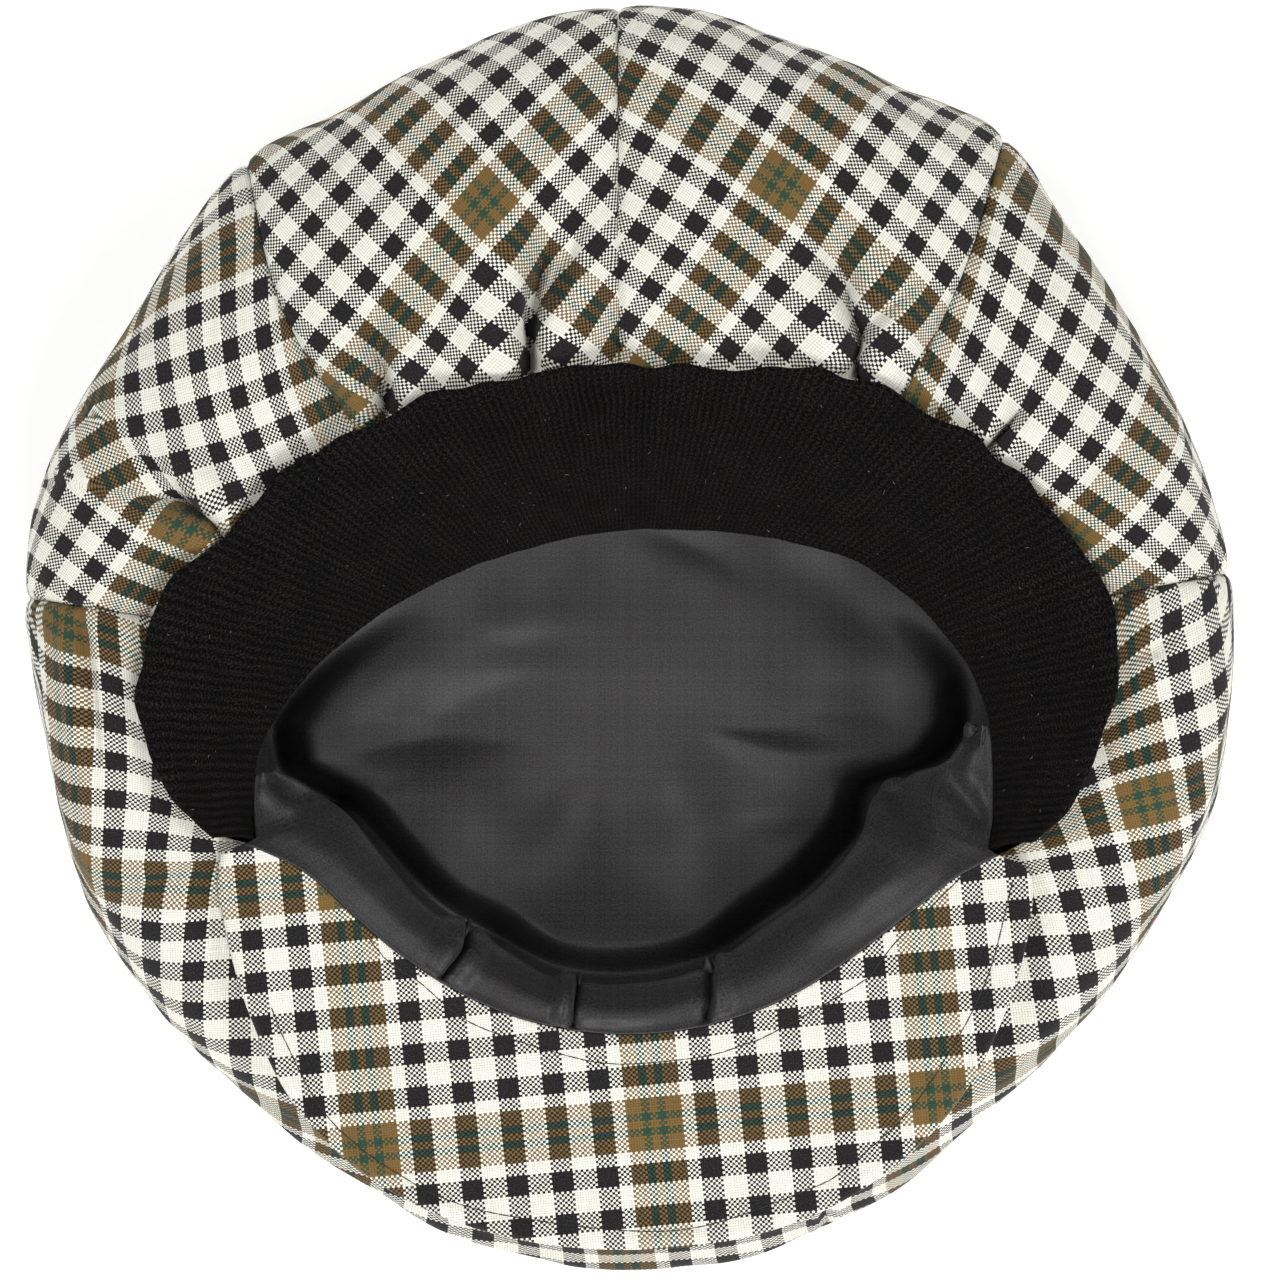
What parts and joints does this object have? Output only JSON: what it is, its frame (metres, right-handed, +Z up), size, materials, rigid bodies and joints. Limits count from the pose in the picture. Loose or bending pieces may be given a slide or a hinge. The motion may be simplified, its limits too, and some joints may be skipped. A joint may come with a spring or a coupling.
{
  "type": "panelled flat cap with knit ear band",
  "caption": "Full checked cloth cap with a short peak, knit ear band and satin lining, lying upside down on its crown.",
  "frame": {"origin": "on the resting plane under the middle of the crown, the cap lying upside down", "axes": "+Z up out of the head opening, +Y to the back of the cap, -Y to the peak, +X to the right seen from above"},
  "size_m": [0.2776, 0.2916, 0.066],
  "materials": {
    "check_cloth": "plain-woven small check in black, cream, brown and green, soft and matt",
    "black_knit": "fine black ribbed knit, matt, with a little lint",
    "charcoal_satin": "charcoal satin lining with a soft sheen"
  },
  "bodies": {
    "root": {"crown_front": "check_cloth", "crown_back_left": "check_cloth", "crown_back_right": "check_cloth", "crown_side_left": "check_cloth", "crown_side_right": "check_cloth", "crown_button": "check_cloth", "peak_under": "check_cloth", "peak_top": "check_cloth", "knit_band": "black_knit", "front_facing": "charcoal_satin", "lining": "charcoal_satin"}
  },
  "joints": []
}
